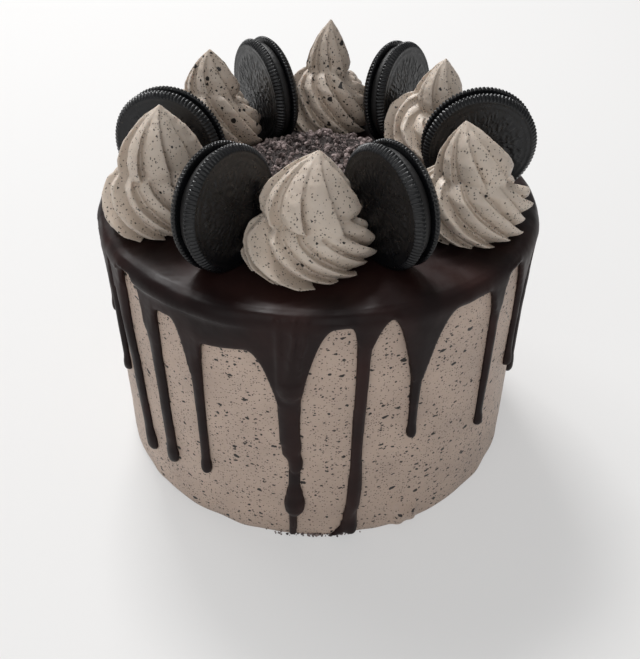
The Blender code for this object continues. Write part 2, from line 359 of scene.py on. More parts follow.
def speckled_cream(name, colour, shade, flatten, bump_depth, stirred, largest):
    """Cream with crumbs in it; `stirred`, 0 to 1, is how many of the larger ones it holds."""
    cream = Finish(name, colour, 0.5)
    dust = specks(cream, 0.92 * MM, 0.7 * MM, 1.0, flatten, 0.45 * MM)
    crumbs = specks(cream, 2.1 * MM, 0.35 * MM + 0.36 * largest, 0.9 * stirred, flatten, 1.3 * MM)
    flakes = specks(cream, 4.8 * MM, largest, 0.75 * stirred, flatten**1.6, 0.8 * largest)
    dust = cream.math("MULTIPLY", dust, 0.8)
    mask = cream.math("MAXIMUM", cream.math("MAXIMUM", dust, crumbs), flakes)
    cloud = cream.between(cream.noise(cream.place, 60.0), 0.35, 0.7)
    tone = cream.mix(cloud, colour, shade)
    cream.colour(cream.mix(mask, tone, SPECK))
    grain = cream.noise(cream.stretched((1.0, 1.0, flatten**2)), 900.0, 4.0)
    pits = cream.noise(cream.stretched((1.0, 1.0, flatten**3)), 260.0, 3.0)
    height = cream.math("ADD", cream.math("MULTIPLY", grain, 0.5), pits)
    cream.bump(height, bump_depth)
    cream.roughness(cream.between(pits, 0.3, 0.7, 0.42, 0.6))
    cream.shader.inputs["Subsurface Weight"].default_value = 0.12
    cream.shader.inputs["Subsurface Radius"].default_value = (1.0, 0.7, 0.5)
    cream.shader.inputs["Subsurface Scale"].default_value = 0.002
    return cream


side_cream = speckled_cream("scraped_cream", (0.555, 0.43, 0.352), (0.47, 0.362, 0.298), 1.45, 0.35 * MM, 1.0, 2.8 * MM)
piped_cream = speckled_cream("piped_cream", (0.64, 0.55, 0.465), (0.56, 0.475, 0.40), 1.0, 0.2 * MM, 0.8, 1.7 * MM)
rich_cream = speckled_cream("well_stirred_cream", (0.60, 0.51, 0.43), (0.5, 0.42, 0.35), 1.0, 0.25 * MM, 1.5, 2.6 * MM)
print("three creams: scraped, piped, and piped with more crumbs")

# %% [markdown]
# ## The frosted drum
# The baker turns the cake against a metal scraper, which leaves a nearly true cylinder. What is left
# of the work shows on a close look: faint rings where the scraper skipped, soft dents, and a lump of
# cream pushed out at the foot. The drum is a turned profile, and each of its points moves in or out.

# %% Turn the drum and work its side
AROUND = 540
SIDE_ROWS = 120
LIP = 3.5 * MM
FOOT_ROUND = 1.2 * MM


def drum_profile():
    """Radius and height from the middle of the top, down the side, to the middle of the base."""
    top = TOP_Z - LIP
    rows = [(CAKE_R * share, top) for share in (0.3, 0.6, 0.85)]
    for step in range(6):
        turn = math.radians(90 - 18 * step)
        rows.append((CAKE_R - 2.5 * MM * (1 - math.cos(turn)), top - 2.5 * MM * (1 - math.sin(turn))))
    for step in range(1, SIDE_ROWS):
        rows.append((CAKE_R, top - 2.5 * MM - (top - 2.5 * MM - FOOT_ROUND) * step / SIDE_ROWS))
    rows += [(CAKE_R - 0.2 * MM, FOOT_ROUND * 0.5), (CAKE_R - FOOT_ROUND, 0.0), (CAKE_R * 0.6, 0.0)]
    return rows


def around_axis(radius, degrees, height):
    angle = np.radians(degrees)
    radius, height = np.broadcast_to(radius, angle.shape), np.broadcast_to(height, angle.shape)
    return np.stack([radius * np.cos(angle), radius * np.sin(angle), height], -1)


turns = np.arange(AROUND) * 360 / AROUND
drum_rings = [around_axis(r, turns, z) for r, z in drum_profile()]
drum_mesh = ring_mesh("frosting", drum_rings, (0, 0, TOP_Z - LIP), (0, 0, 0))
points = points_of(drum_mesh)
radius = np.hypot(points[:, 0], points[:, 1])
azimuth = np.degrees(np.arctan2(points[:, 1], points[:, 0]))
on_side = (radius > CAKE_R - 2 * MM) & (points[:, 2] < TOP_Z - 6 * MM)
skips = 0.10 * wave(points, (9, 9, 420)) + 0.28 * wave(points, (28, 28, 45), 3.0)
skips += 0.10 * np.maximum(0, wave(points, (60, 60, 240), 7.0))
foot = np.exp(-((points[:, 2] / (5 * MM)) ** 2))
lump = 3.6 * np.exp(-(((azimuth + 66) / 4.0) ** 4)) * np.exp(-(((points[:, 2] - 6 * MM) / (4.2 * MM)) ** 4))
uneven = foot * 0.7 * wave(points, (90, 90, 60), 11.0)
lump *= 1 + 0.5 * wave(points, (230, 230, 230), 5.0)
outward = on_side * (skips - 0.15 + lump + uneven) * MM
points[:, 0] += outward * np.cos(np.radians(azimuth))
points[:, 1] += outward * np.sin(np.radians(azimuth))
set_points(drum_mesh, points)
frosting = new_piece("frosting", drum_mesh, side_cream)
place_in_frame(frosting, "frosting", "frosted_cake")

# %% [markdown]
# ## Ganache
# Warm ganache is poured on the cold cake and pushed to the rim, where it runs over, sets and stops.
# It is nearly black with a red-brown warmth, and shines softly and unevenly: smooth where it flowed,
# duller where it was pushed about. Grain would make it look dry, so the bump here is a slow ripple,
# and the gloss changes in broad clouds.

# %% The ganache's finish
chocolate = Finish("dark_ganache", (0.018, 0.0105, 0.0095), 0.3)
cloud = chocolate.noise(chocolate.place, 38.0, 2.0)
chocolate.colour(chocolate.mix(chocolate.between(cloud, 0.4, 0.7), (0.011, 0.0055, 0.0055), (0.028, 0.0115, 0.010)))
chocolate.roughness(chocolate.between(chocolate.noise(chocolate.place, 85.0, 3.0), 0.35, 0.7, 0.36, 0.58))
chocolate.bump(chocolate.noise(chocolate.place, 170.0, 2.0), 0.25 * MM)
chocolate.shader.inputs["Specular IOR Level"].default_value = 0.17
print("ganache colour set")

# %% [markdown]
# ## Where the ganache ran
# A drip starts as a tongue at the rim, narrows in a funnel to a stem, and ends in a fuller bead.
# Between two drips the sheet's lower edge is an arch. So each drip is one row of numbers: where it
# leaves the rim and where it ends, how wide it is, how far its funnel spreads to the left and the
# right, and how high the arch beside it rises. A fat drip at the front ran three times, one run over
# another, so it has its own rows further down.

# %% The drips as a table
# azimuth at rim and tip, tip height, stem width, funnel spread left and right (degrees), funnel foot,
# height of the arch to the right at its near end, and how much higher its far end is
DRIPS = (
    (-154.5, -153.0, 46, 4.0, 2.0, 1.5, 88, 100, 0),
    (-148.0, -142.3, 15, 6.6, 1.5, 1.5, 88, 101, 0),
    (-133.8, -132.0, 19, 5.8, 3.0, 1.0, 82, 94, 0),
    (-120.0, -119.7, 24, 4.4, 4.5, 1.2, 72, 87.5, 4.5),
    (-96.5, -96.0, 42, 7.2, 7.5, 8.0, 67, 100, 1.5),
    (-79.2, -80.6, 1, 4.8, 1.5, 5.0, 92, 103.2, 0),
    (-66.0, -65.8, 47, 3.8, 6.5, 8.5, 74, 100, 0),
    (-41.5, -41.5, 34, 4.0, 3.0, 2.0, 88, 102, 0),
    (-27.0, -27.0, 50, 4.0, 4.0, 4.0, 86, 99, 0),
    (-11.0, -12.0, 30, 5.2, 5.0, 4.0, 78, 97, 0),
    (4.0, 4.0, 60, 4.0, 2.0, 2.5, 90, 101, 0),
    (19.0, 18.0, 20, 5.6, 6.0, 4.0, 74, 96, 0),
    (34.0, 34.5, 52, 4.2, 2.0, 3.0, 88, 100, 0),
    (50.0, 49.0, 12, 6.0, 6.0, 7.0, 70, 95, 0),
    (66.0, 66.0, 62, 4.0, 2.0, 2.0, 90, 101, 0),
    (83.0, 84.0, 36, 5.0, 4.0, 5.0, 80, 98, 0),
    (99.0, 99.0, 68, 4.0, 2.5, 2.0, 90, 101, 0),
    (116.0, 115.0, 17, 6.0, 7.0, 5.0, 72, 95, 0),
    (134.0, 134.5, 47, 4.4, 2.0, 3.5, 86, 100, 0),
    (151.0, 151.0, 63, 4.0, 3.0, 2.0, 90, 99, 0),
    (168.0, 167.0, 27, 5.4, 5.0, 5.0, 78, 98, 0),
    (188.0, 188.5, 56, 4.4, 3.0, 3.0, 88, 101, 0),
)


def half_stem(drip):
    return math.degrees(drip[3] * MM / 2 / CAKE_R)


def sheet_edge(degrees):
    """Height of the sheet's lower edge at an azimuth, in metres."""
    for drip, following in zip(DRIPS, DRIPS[1:] + DRIPS[:1]):
        span = (following[0] - drip[0]) % 360
        away = (degrees - drip[0]) % 360
        if away > span:
            continue
        beside = max(away - half_stem(drip), 0.0)
        before = max(span - away - half_stem(following), 0.0)
        left = (1 - min(beside / drip[5], 1)) ** 2
        right = (1 - min(before / following[4], 1)) ** 2
        arch = drip[7] + drip[8] * away / span
        drop = (arch - drip[6]) * left + (arch - following[6]) * right
        return (arch - drop) * MM
    return 98 * MM


print(len(DRIPS), "drips;", "edge at the front:", round(sheet_edge(-90.0) / MM, 1), "mm")

# %% [markdown]
# ## Pouring the sheet
# The sheet is a shell: flat on top, rolled over the rim, hanging down to the edge above and folded
# back under itself. Round the rim it is a little fuller at the left front, where a second pour ended
# in a ledge over the first.

# %% The sheet of ganache
SHEET_COLUMNS = 900
WALL = CAKE_R - 0.1 * MM
SHEET_THICK = 2.5 * MM
UNDER = TOP_Z - 3.4 * MM
RIM_ROUND = 6 * MM


def ledge(degrees):
    """How far the second pour stands over the first at the left front, in millimetres."""
    return 1.2 * np.clip((degrees + 152) / 8, 0, 1) * np.clip((-103 - degrees) / 8, 0, 1)


def sheet_rings():
    degrees = np.linspace(-180, 180, SHEET_COLUMNS, endpoint=False)
    edge = np.array([sheet_edge(a) for a in degrees])
    out = WALL + SHEET_THICK + 0.35 * MM * np.array([noise.noise(Vector((a / 9, 0, 2))) for a in degrees])
    step = ledge(degrees) * MM
    rows = [(share * 80 * MM, TOP_Z) for share in (0.2, 0.45, 0.7, 0.9)]
    for turn in np.radians((75, 60, 45, 30, 15, 0)):
        inward, down = RIM_ROUND * (1 - math.cos(turn)), RIM_ROUND * (1 - math.sin(turn))
        rows.append((out - inward + step * math.cos(turn), np.maximum(TOP_Z - down, edge + 2.4 * MM)))
    shoulder = np.maximum(TOP_Z - 6.6 * MM, edge + 2.2 * MM)
    rows += [(out + step * 0.6, shoulder), (out - 0.1 * MM, np.maximum(shoulder - 0.9 * MM, edge + 2.1 * MM))]
    for share in (0.3, 0.5, 0.7, 0.9):
        height = rows[-1][1] * (1 - share) + (edge + 2 * MM) * share
        rows.append((out - (0.1 + 0.2 * share) * MM, height))
    rows += [(out - 0.2 * MM, edge + 1.8 * MM), (out - 0.6 * MM, edge + 0.8 * MM)]
    rows += [(out - 1.4 * MM, edge + 0.1 * MM), (WALL + 0.4 * MM, edge + 0.1 * MM), (WALL, edge + 0.5 * MM)]
    rows += [(WALL, np.maximum(TOP_Z - 5 * MM, edge + 0.6 * MM)), (WALL - 1 * MM, UNDER), (70 * MM, UNDER), (30 * MM, UNDER)]
    return [around_axis(r, degrees, z) for r, z in rows]


sheet_mesh = ring_mesh("sheet", sheet_rings(), (0, 0, TOP_Z), (0, 0, UNDER))
print("sheet of", len(sheet_mesh.polygons), "faces")

# %% [markdown]
# ## Runs down the side
# Each run is a tongue with a flat back and a rounded front. Its width and thickness follow a few
# stations down its length, joined by smooth curves. A bead is a station that is wider and fuller than
# its neighbours.

# %% Lay the runs
SECTION = np.linspace(0, math.pi, 9)


def run_mesh(name, stations):
    """A tongue of ganache through stations of height, azimuth, width and thickness, in mm and degrees."""
    stations = np.array(stations, float)
    steps = np.linspace(0, len(stations) - 1, 12 * len(stations))
    whole = np.minimum(steps.astype(int), len(stations) - 2)
    part = steps - whole
    part = part * part * (3 - 2 * part)
    rows = stations[whole] * (1 - part[:, None]) + stations[whole + 1] * part[:, None]
    rows[:, 0] = np.interp(steps, np.arange(len(stations)), stations[:, 0])
    rings = []
    for z, degrees, width, thick in rows:
        across = np.append(-np.cos(SECTION), np.linspace(0.8, -0.8, 5))
        out = np.append(np.sin(SECTION) ** 0.8, np.full(5, -0.25))
        half = math.degrees(width * MM / 2 / CAKE_R)
        rings.append(around_axis(WALL + out * thick * MM, degrees + across * half, z * MM))
    ends = [ring.mean(0) for ring in (rings[0], rings[-1])]
    return ring_mesh(name, rings, ends[0], ends[1])


def rounded_tip(z, degrees, width, thick):
    """Stations that close a run with a round, full end at height z."""
    return [
        (z + 0.9 * width, degrees, width * 1.08, thick * 1.1),
        (z + 0.45 * width, degrees, width * 1.0, thick * 1.1),
        (z + 0.15 * width, degrees, width * 0.72, thick * 0.85),
        (z, degrees, width * 0.25, thick * 0.35),
    ]


def drip_stations(drip):
    rim_az, tip_az, tip_z, stem, _, _, foot, _, _ = drip
    start = 98.0
    middle = 0.5 * (foot + tip_z)

    def at(z):
        return rim_az + (tip_az - rim_az) * (start - z) / (start - tip_z)

    stations = [(start, at(start), stem * 1.2, 2.2), (foot, at(foot), stem * 1.12, 2.5)]
    stations.append((foot - 6, at(foot - 6), stem, 2.3))
    stations.append((middle, at(middle), stem * 0.94, 2.1))
    low = tip_z + 2.0 * stem
    stations.append((low, at(low), stem * 0.94, 2.1))
    return stations + rounded_tip(tip_z, tip_az, stem, 2.4)


runs = [drip_stations(drip) for drip in DRIPS]
# the fat front drip: an upper bulb, a column that ends in a drop, a lower bead, and a last thin stem
runs.append([(98, -95.6, 6, 2.6), (88, -96, 7.5, 3.3), (80, -96, 8.8, 3.9)] + rounded_tip(70.5, -96, 9.2, 4.0))
runs.append([(70, -96.6, 8.0, 2.6), (52, -96.4, 7.8, 2.7), (46, -95.6, 5.6, 2.6)] + rounded_tip(36, -95.0, 5.2, 2.9))
runs.append([(44, -95.2, 4.4, 2.0), (30, -95.4, 4.6, 2.1), (24, -95.4, 6.6, 3.0)] + rounded_tip(13, -95.4, 7.6, 3.6))
runs.append([(18, -95.9, 3.4, 1.8), (8, -95.9, 3.3, 1.6), (0.8, -96.0, 3.2, 1.4)])
# the bead low on the next drip, and its foot, which turns aside
runs.append([(40, -79.9, 4.6, 2.2), (28, -80.0, 5.6, 2.8), (19, -80.3, 5.6, 2.8), (10, -81.4, 4.8, 2.2)])
runs.append([(12, -81.0, 4.6, 2.2), (6, -82.0, 4.6, 2.2), (3, -83.4, 4.6, 2.0), (1, -85.2, 3.0, 1.6)])
# three thin rivulets that set on the fat drip's funnel
for rim_az, lean_az, thick in ((-92.5, -95.0, 3.5), (-95.0, -96.8, 3.8), (-98.5, -98.5, 3.4)):
    middle_az = (rim_az + lean_az) / 2
    runs.append([(105, rim_az, 2.4, 2.6), (99, rim_az, 2.6, thick), (88, middle_az, 2.3, thick), (76, lean_az, 2.6, thick)])
run_meshes = [run_mesh(f"run_{i}", stations) for i, stations in enumerate(runs)]
print(len(run_meshes), "runs")

# %% [markdown]
# ## One skin of chocolate
# The sheet and the runs cross each other, so they are melted into one skin. The voxels are 0.7 mm,
# fine enough for a stem 4 mm wide. Afterwards the flat top gets the slow swells that a spatula
# leaves, and the outer face gets slow ripples of flow; every run's back already lies in the frosting.

# %% Melt the ganache together
ganache_parts = [(points_of(m), [list(p.vertices) for p in m.polygons]) for m in [sheet_mesh] + run_meshes]
parts_points, parts_faces, offset = [], [], 0
for part_points, part_faces in ganache_parts:
    parts_points += part_points.tolist()
    parts_faces += [[v + offset for v in face] for face in part_faces]
    offset += len(part_points)
ganache_mesh = bpy.data.meshes.new("poured_ganache")
ganache_mesh.from_pydata(parts_points, [], parts_faces)
ganache = new_piece("poured_ganache", ganache_mesh, chocolate)
melt(ganache, 0.7 * MM, 5, keep=0.6)
points = points_of(ganache.data)
radius = np.hypot(points[:, 0], points[:, 1])
on_top = np.clip((points[:, 2] - (TOP_Z - 1.5 * MM)) / MM, 0, 1)
swell = 0.5 * wave(points, 45, 1.0) + 0.2 * wave(points, 130, 4.0) - 0.3
points[:, 2] += on_top * swell * MM
outer = np.clip((radius - WALL - 0.6 * MM) / (0.8 * MM), 0, 1) * (1 - on_top)
flow = 0.4 * wave(points, (55, 55, 30), 8.0) + 0.2 * wave(points, (150, 150, 90), 5.0)
outward = outer * flow * np.clip(points[:, 2] / (70 * MM), 0.3, 1) * MM
points[:, :2] += points[:, :2] / radius[:, None] * outward[:, None]
set_points(ganache.data, points)
place_in_frame(ganache, "ganache", "ganache")

# %% [markdown]
# ## Piping a swirl
# An open star nozzle lays a fat rope with deep grooves. The baker goes once round for the base, then
# stops in the middle, presses and pulls up, so a swirl is a low twisted drum under a twisted peak.
# The grooves run slantwise down to the right, each ridge overlapping the next like a shingle.
# Sweeping a star along a spiral makes every ridge run level, which is wrong: the nozzle points down,
# so the ridges lean. Two twisted stars melted together give the true look.

# %% Build swirls from twisted stars
RIDGES_BASE, RIDGES_PEAK = 13, 8
OVERHANG = 0.34


def ridge_profile(phase):
    """Height of a ridge, 0 to 1, over one lobe: a slow rise, a rounded crest and a quick fall."""
    phase = phase % 1.0
    crest = 0.78
    rising = np.sin(np.clip(phase / crest, 0, 1) * math.pi / 2) ** 0.85
    falling = np.cos(np.clip((phase - crest) / (1 - crest), 0, 1) * math.pi / 2) ** 0.9
    return np.where(phase < crest, rising, falling)


def star_tier(centre, base_z, outline, height, lobes, twist, start, depth, lean, dice, step_at=None):
    """One twisted star: rings from bottom to top; `step_at` gives its shoulder a spiral step."""
    degrees = np.arange(lobes * 20) * 360 / (lobes * 20)
    strength = np.array([dice.uniform(0.7, 1.15) for _ in range(lobes)])
    shift = np.array([dice.uniform(-0.14, 0.14) for _ in range(lobes)])
    hang = np.array([dice.uniform(-0.5, 1.1) for _ in range(lobes)])
    flare = np.array([dice.uniform(-0.06, 0.1) for _ in range(lobes)])
    rings = []
    shares = np.linspace(0, 1, 44)
    heights, widths = np.array(outline).T
    for share in shares:
        turned = start - twist * share ** 0.85
        phase = degrees / 360 * lobes
        index = np.floor(phase).astype(int) % lobes
        ridge = ridge_profile(phase + shift[index] * np.sin((phase % 1) * math.pi))
        wide = np.interp(share, heights, widths)
        local = wide * (1 - depth * (1 - ridge * strength[index]))
        overhang = OVERHANG * 360 / lobes * ridge**2
        angle = np.radians(degrees + turned + overhang)
        rise = height * share * np.ones_like(local)
        if step_at is not None:
            ramp = ((degrees + turned - step_at) % 360) / 360
            rise *= 0.84 + 0.28 * np.minimum(ramp, (1 - ramp) * 9)
            local *= 1 + flare[index] * ridge * share
        else:
            droop = np.clip(1 - share / 0.4, 0, 1) * hang[index] * np.sin((phase % 1) * math.pi)
            rise -= 0.18 * height * droop
            local *= 1 + flare[index] * ridge * np.exp(-(((share - 0.14) / 0.12) ** 2))
        rise -= 0.05 * height * ridge * np.sin(share * math.pi) * (wide / widths.max())
        x = centre[0] + lean[0] * share**2 + local * np.cos(angle)
        y = centre[1] + lean[1] * share**2 + local * np.sin(angle)
        floor_z = 0 if step_at is not None else -0.2 * height
        rings.append(np.stack([x, y, base_z + np.maximum(rise, floor_z)], -1))
    first, last = rings[0].mean(0), rings[-1].mean(0)
    last[2] += 0.02 * height
    return rings, first, last


BASE_OUTLINE = ((0, 0.78), (0.12, 0.94), (0.33, 1.0), (0.58, 0.97), (0.78, 0.86), (0.92, 0.64), (1, 0.3))
PEAK_OUTLINE = ((0, 0.5), (0.06, 0.8), (0.15, 0.97), (0.3, 1.0), (0.5, 0.86), (0.7, 0.6), (0.84, 0.35), (0.93, 0.16), (1, 0.02))
print("swirl recipe ready")

# %% [markdown]
# ## Six swirls by the same hand
# No two swirls are alike: each gets its own draw for the strength of its ridges, the place of the
# step where the rope closed on itself, and the way the peak was flicked off. Each one's centre,
# width, height and tip are read from its solid. Where a swirl leans on a cookie, the cream is
# pressed flat against it.

# %% Read the cookies' places
COOKIE_NAMES = ("front_left", "front_right", "right", "back_right", "back_left", "left")


def node_points(name):
    return points_of(frame["nodes"][name].data)


def cookie_place(name):
    """Centre, axis towards the side that shows, radius and half thickness of a cookie."""
    a, b = node_points(f"cookie_{name}_wafer_a"), node_points(f"cookie_{name}_wafer_b")
    middle = (a.min(0) + a.max(0)) / 2, (b.min(0) + b.max(0)) / 2
    mean_a, mean_b = a.mean(0), b.mean(0)
    axis = (mean_a - mean_b) / np.linalg.norm(mean_a - mean_b)
    centre = (middle[0] + middle[1]) / 2
    along = (a - centre) @ axis
    radius = np.linalg.norm((a - centre) - np.outer(along, axis), axis=1).max()
    return centre, axis, radius, along.max(), along.min()


cookies = {name: cookie_place(name) for name in COOKIE_NAMES}
for name, (centre, axis, radius, outer, inner) in cookies.items():
    print(name, "cookie: radius", round(radius / MM, 1), "mm, half thickness", round(outer / MM, 1), "mm")

# %% Pipe the swirls
# cream, seed, girth of the peak to that of the base, share of the height that is base, twist of base
# and peak, azimuth of the step, start of the ridges
SWIRL_LOOKS = {
    "front": (piped_cream, 11, 0.72, 0.48, 92.0, 30.0, 5.0, 0.0),
    "right": (piped_cream, 23, 0.62, 0.56, 88.0, 40.0, 330.0, 20.0),
    "back_right": (piped_cream, 37, 0.5, 0.6, 90.0, 35.0, 200.0, 40.0),
    "back": (rich_cream, 41, 0.5, 0.58, 88.0, 30.0, 310.0, 10.0),
    "back_left": (rich_cream, 53, 0.55, 0.63, 88.0, 45.0, 330.0, 15.0),
    "left": (piped_cream, 67, 0.68, 0.54, 84.0, 22.0, 20.0, 30.0),
}


def press_against_cookies(points, centre):
    """Cream that would be inside a cookie is flattened on that cookie's nearer face."""
    for middle, axis, radius, outer, inner in cookies.values():
        side = 1.0 if (centre - middle) @ axis > 0 else -1.0
        along = (points - middle) @ axis
        across = np.linalg.norm(points - middle - np.outer(along, axis), axis=1)
        room = outer + 0.15 * MM
        inside = (across < radius + 0.2 * MM) & (along * side < room) & (along * side > -room)
        points += np.outer(inside * (room - along * side) * side, axis)
    return points


swirl_feet = []


def pipe_swirl(name, cream, seed, girth, split, base_twist, peak_twist, step_at, start):
    solid = node_points(f"swirl_{name}")
    low, high = solid.min(0), solid.max(0)
    foot = solid[solid[:, 2] < low[2] + 0.2 * MM]
    centre = (foot.min(0) + foot.max(0)) / 2
    tip = solid[solid[:, 2].argmax()]
    radius = max(high[0] - low[0], high[1] - low[1]) / 2 * 0.99
    height = high[2] - low[2]
    swirl_feet.append((centre[0], centre[1], radius))
    dice = random.Random(seed)
    lean = (tip[:2] - centre[:2])
    base_z = TOP_Z - 0.2 * MM
    base_outline = np.array(BASE_OUTLINE) * (1, radius)
    peak_outline = np.array(PEAK_OUTLINE) * (1, radius * girth)
    base = star_tier(centre, base_z, base_outline, height * split, RIDGES_BASE, base_twist, start, 0.36,
                     lean * 0.1, dice, step_at)
    peak = star_tier(centre, base_z + height * (split - 0.1), peak_outline, height * (1.1 - split), RIDGES_PEAK, peak_twist,
                     start + 40, 0.38, lean, dice)
    parts = []
    for rings, first, last in (base, peak):
        mesh = ring_mesh("tier", rings, first, last)
        parts.append((points_of(mesh), [list(p.vertices) for p in mesh.polygons]))
        bpy.data.meshes.remove(mesh)
    count = len(parts[0][0])
    mesh = bpy.data.meshes.new(f"piped_swirl_{name}")
    every_face = parts[0][1] + [[v + count for v in face] for face in parts[1][1]]
    mesh.from_pydata(np.vstack([parts[0][0], parts[1][0]]).tolist(), [], every_face)
    swirl = new_piece(f"piped_swirl_{name}", mesh, cream)
    melt(swirl, 0.42 * MM, 1)
    points = points_of(swirl.data)
    push = 0.3 * wave(points, 160, seed) + 0.12 * wave(points, 520, seed)
    outward = points - np.array([centre[0], centre[1], base_z + 8 * MM])
    outward /= np.linalg.norm(outward, axis=1)[:, None]
    points += outward * (push * MM)[:, None]
    points = press_against_cookies(points, centre)
    set_points(swirl.data, points)
    place_in_frame(swirl, "swirl_cream", f"swirl_{name}")


for name, look in SWIRL_LOOKS.items():
    pipe_swirl(name, *look)

# %% [markdown]
# ## Cocoa wafers
# Each wafer is stamped from black cocoa dough: a flat face with a raised pattern inside a plain ring,
# and a rim of fine teeth that slope back from the face. The teeth are geometry, because they draw the
# bright dotted outline that makes the cookie read as a cookie. The raised pattern here is a plain
# maze of short ripples that belongs to no maker.

# %% The wafer's finish
cocoa = Finish("black_cocoa_wafer", (0.02, 0.0195, 0.021), 0.5)
patchy = cocoa.between(cocoa.noise(cocoa.place, 140.0, 4.0), 0.35, 0.7)
baked = cocoa.mix(patchy, (0.0018, 0.0022, 0.0032), (0.0045, 0.005, 0.0065))
dots = specks(cocoa, 6.0 * MM, 0.6 * MM, 0.4, 1.0, 0.3 * MM)
cocoa.colour(cocoa.mix(cocoa.math("MULTIPLY", dots, 0.5), baked, (0.2, 0.17, 0.14)))
cocoa.roughness(cocoa.between(cocoa.noise(cocoa.place, 420.0, 3.0), 0.35, 0.7, 0.26, 0.42))
cocoa.bump(cocoa.noise(cocoa.place, 1500.0, 3.0), 0.1 * MM)
cocoa.shader.inputs["Specular IOR Level"].default_value = 0.45

# The filling is coloured near-black, about as dark as the wafers.
creme = Finish("near_black_creme", (0.022, 0.02, 0.021), 0.6)
creme.colour(creme.mix(creme.noise(creme.place, 300.0), (0.006, 0.0055, 0.006), (0.012, 0.011, 0.011)))
creme.bump(creme.noise(creme.place, 700.0, 3.0), 0.2 * MM)
print("wafer and creme colours set")

# %% Stamp one wafer
TEETH = 92
TOOTH = (0.0, 0.8, 1.0, 1.0, 0.8)
TOOTH_DEPTH = 0.8 * MM
RELIEF = 0.2 * MM


def ripple_relief(x, y, radius):
    """The face's relief, 0 to 1: a ring, then a maze of short ripples, both fading at their edges."""
    rho = np.hypot(x, y) / radius
    bend = 2.2 * wave(np.stack([x, y, 0 * x], -1), 210, 4.0)
    swing = 1.8 * wave(np.stack([x, y, 0 * x], -1), 330, 9.0)
    lines = np.sin(x * 1900 + bend * 2.4) * np.cos(y * 1500 + swing * 2.6 + x * 500)
    maze = np.clip(lines * 2.2 + 0.35, 0, 1)
    field = np.clip((0.80 - rho) / 0.04, 0, 1)
    ring = np.exp(-(((rho - 0.885) / 0.022) ** 2))
    return np.maximum(maze * field, ring * 0.7)


def wafer_rings(radius, face_radius, thick):
    """Rings from the inner face, round the toothed rim, to the middle of the outer face."""
    count = TEETH * len(TOOTH)
    degrees = np.arange(count) * 360 / count
    tooth = np.tile(TOOTH, TEETH)
    rows = [(radius * 0.5, 0, 0), (radius - 1.4 * MM, 0.0, 0), (radius - 0.5 * MM, 0.05 * MM, 0.3)]
    rows += [(radius - 0.1 * MM, 0.4 * MM, 0.8), (radius, 0.9 * MM, 1.0), (radius - 0.3 * MM, 1.5 * MM, 1.0)]
    slope = face_radius - (radius - 0.3 * MM)
    for share in (0.3, 0.6, 0.85):
        rows.append((radius - 0.3 * MM + slope * share, 1.5 * MM + (thick - 1.5 * MM) * share**0.8, 1.0 - 0.35 * share))
    rows += [(face_radius - 0.1 * MM, thick - 0.02 * MM, 0.3), (face_radius - 0.6 * MM, thick, 0.0)]
    rings = []
    for r, z, bite in rows:
        local = r - TOOTH_DEPTH * bite * (1 - tooth)
        rings.append(around_axis(local, degrees, z))
    for share in np.linspace(0.95, 0.03, 34):
        ring = around_axis(share * face_radius, degrees, thick)
        ring[:, 2] -= RELIEF * (1 - ripple_relief(ring[:, 0], ring[:, 1], face_radius)) * min(1, (0.97 - share) * 30)
        rings.append(ring)
    return rings


def cookie_matrix(centre, axis):
    """A frame with Z along the cookie's axis and Y as near to upright as it can be."""
    z = Vector(axis)
    x = Vector((0, 0, 1)).cross(z).normalized()
    y = z.cross(x)
    turn = Matrix((x, y, z)).transposed().to_4x4()
    return Matrix.Translation(Vector(centre)) @ turn


def wafer_blank(radius, thick):
    rings = wafer_rings(radius, radius - 1.9 * MM, thick)
    first, last = (0, 0, 0), (0, 0, thick - RELIEF)
    return ring_mesh("wafer", rings, first, last)


centre, axis, radius, outer, inner = cookies["right"]
stamped = wafer_blank(radius, outer - inner)
stamped.materials.append(cocoa.material)
print("wafer of", len(stamped.polygons), "faces")

# %% [markdown]
# ## Six sandwich cookies
# A cookie is two stamped wafers, back to back, with a disc of dark creme squeezed between them. The
# discs do not quite reach the rims, so a deep shadow runs between the wafers. Every wafer is turned
# by its own amount about the cookie's axis, since nobody lines the patterns up.

# %% Assemble the cookies
def creme_disc(radius, half):
    degrees = np.arange(120) * 3.0
    uneven = 0.35 * MM * np.array([noise.noise(Vector((math.cos(math.radians(a)), math.sin(math.radians(a)), 3))) for a in degrees])
    rows = [(radius * 0.6, -half), (radius - 0.9 * MM, -half), (radius - 0.2 * MM, -half * 0.6), (radius, 0)]
    rows += [(radius - 0.2 * MM, half * 0.6), (radius - 0.9 * MM, half), (radius * 0.6, half)]
    return ring_mesh("creme", [around_axis(r + uneven, degrees, z) for r, z in rows], (0, 0, -half), (0, 0, half))


for index, (name, (centre, axis, radius, outer, inner)) in enumerate(cookies.items()):
    for letter, flip in (("a", 1), ("b", -1)):
        wafer = new_piece(f"wafer_{name}_{letter}", stamped)
        own_turn = Matrix.Rotation(math.radians(37 * index + 100 * flip), 4, "Z")
        wafer.matrix_world = cookie_matrix(centre, axis * flip) @ Matrix.Translation((0, 0, inner)) @ own_turn
        place_in_frame(wafer, "wafer", f"cookie_{name}_wafer_{letter}")
    disc = new_piece(f"creme_{name}", creme_disc(radius - 1.9 * MM, inner - 0.05 * MM), creme)
    disc.matrix_world = cookie_matrix(centre, axis)
    place_in_frame(disc, "filling", f"cookie_{name}_filling")
